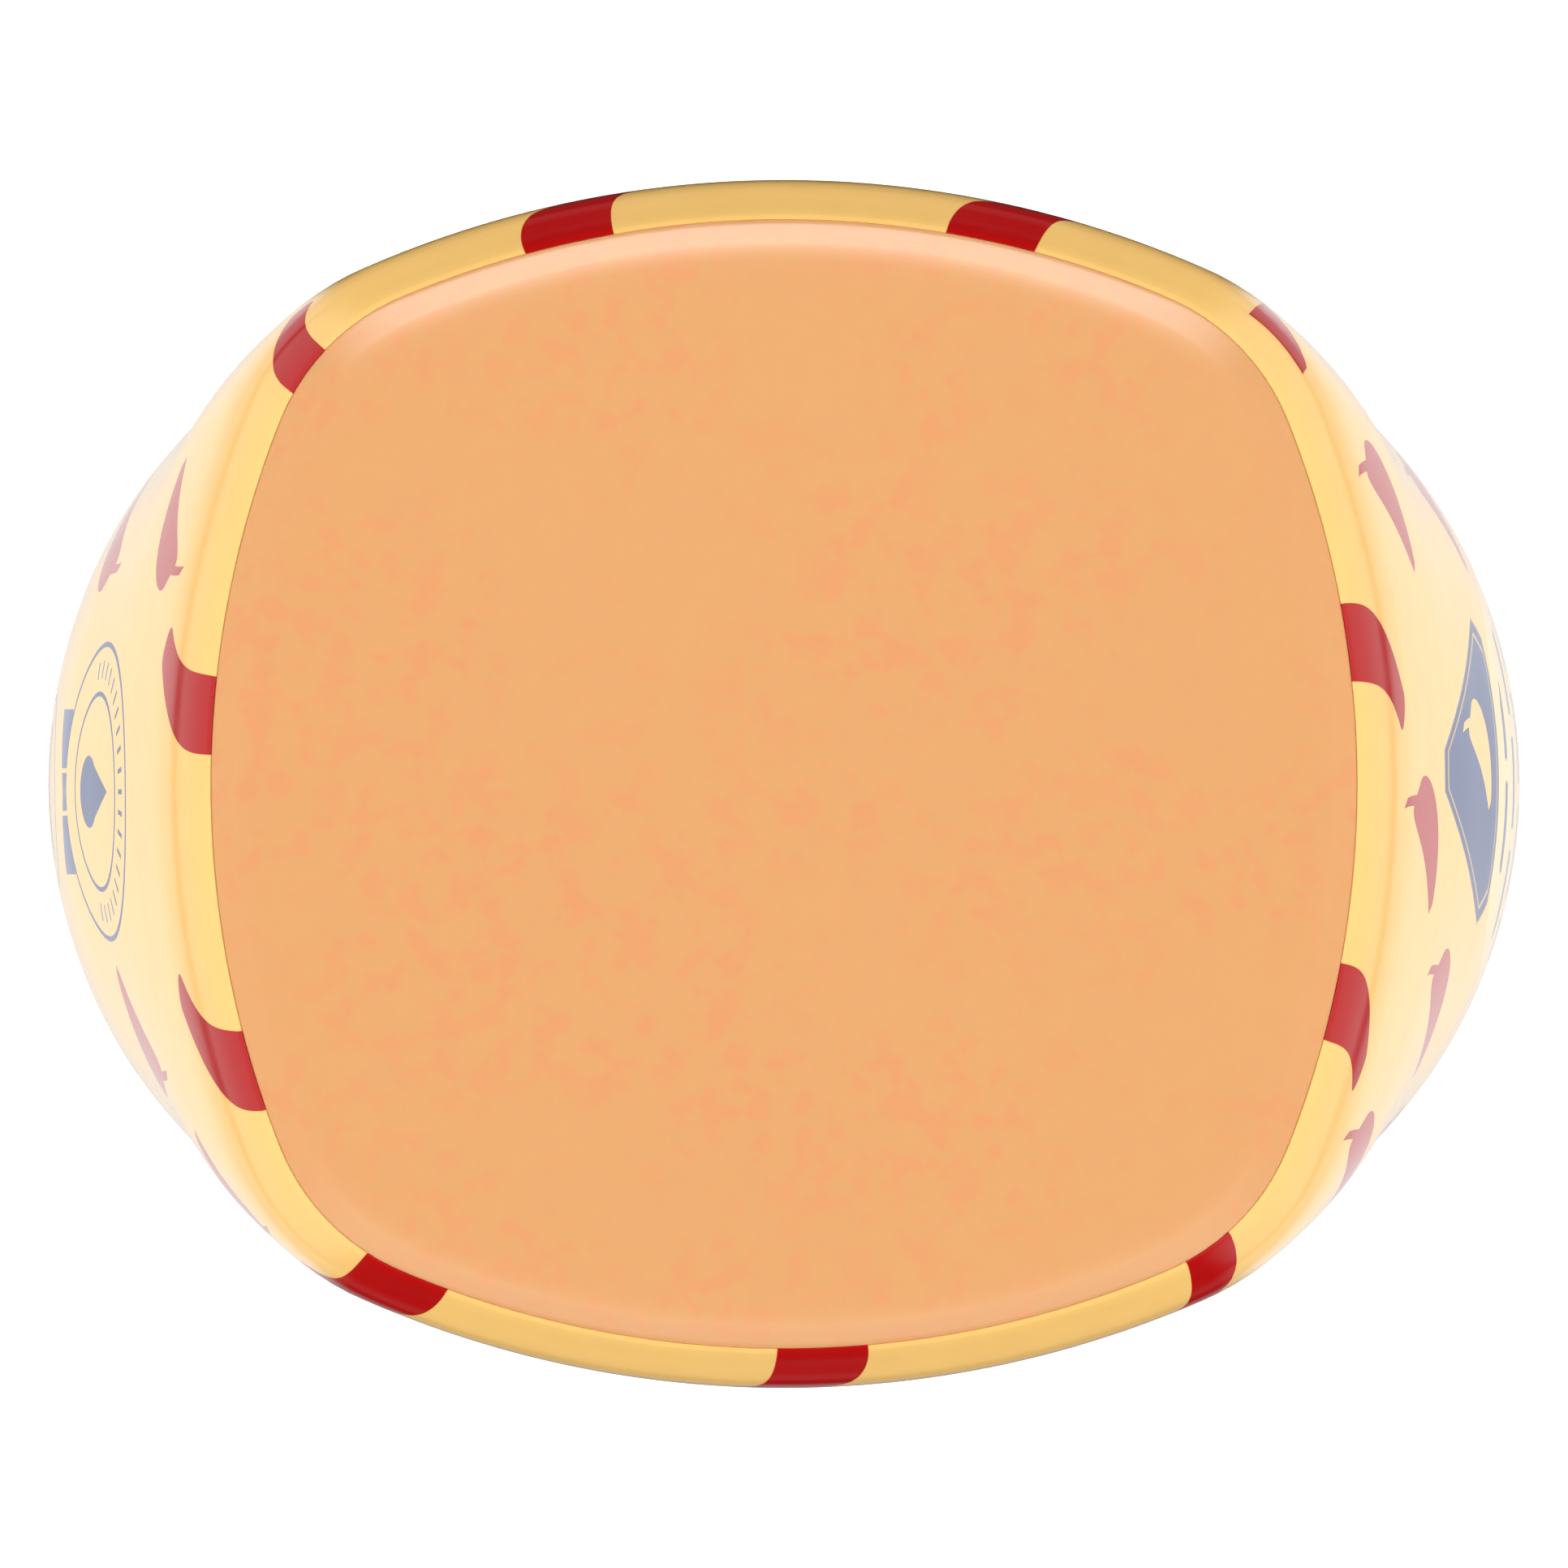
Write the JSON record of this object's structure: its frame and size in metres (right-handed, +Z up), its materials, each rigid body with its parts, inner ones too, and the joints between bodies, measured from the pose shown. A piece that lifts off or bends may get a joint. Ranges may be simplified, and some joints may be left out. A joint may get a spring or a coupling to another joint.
{
  "type": "squeeze bottle",
  "caption": "Cap-down squeeze bottle of creamy orange sauce with a full printed shrink sleeve and a flip-top valve closure.",
  "frame": {"origin": "middle of the flip lid's flat standing face", "axes": "+Z up, from the lid to the bottle's base, which is uppermost; the wide faces look along -Y (front) and +Y (back); the lid's hinge is at the back"},
  "size_m": [0.0718, 0.057, 0.176],
  "materials": {
    "clear_pet": "clear gloss",
    "sauce": "smooth, softly glossy",
    "printed_film": "gloss film, printed in yellow, red and dark blue",
    "foil": "thin foil",
    "red_plastic": "satin moulded polypropylene",
    "silicone": "translucent matt silicone",
    "natural_plastic": "natural polypropylene"
  },
  "bodies": {
    "bottle_body": {"bottle": "clear_pet", "sauce": "sauce", "shrink_sleeve": "printed_film", "foil_seal": "foil", "closure_body": "red_plastic", "silicone_valve": "silicone", "valve_retainer": "natural_plastic", "living_hinge": "red_plastic"},
    "lid": {"flip_lid": "red_plastic"}
  },
  "joints": [
    {"name": "lid_hinge", "type": "hinge", "parent": "bottle_body", "child": "lid", "pos_m": [0, 0.0254, 0.00965], "axis": [1, 0, 0], "range_deg": [0, 150]}
  ]
}
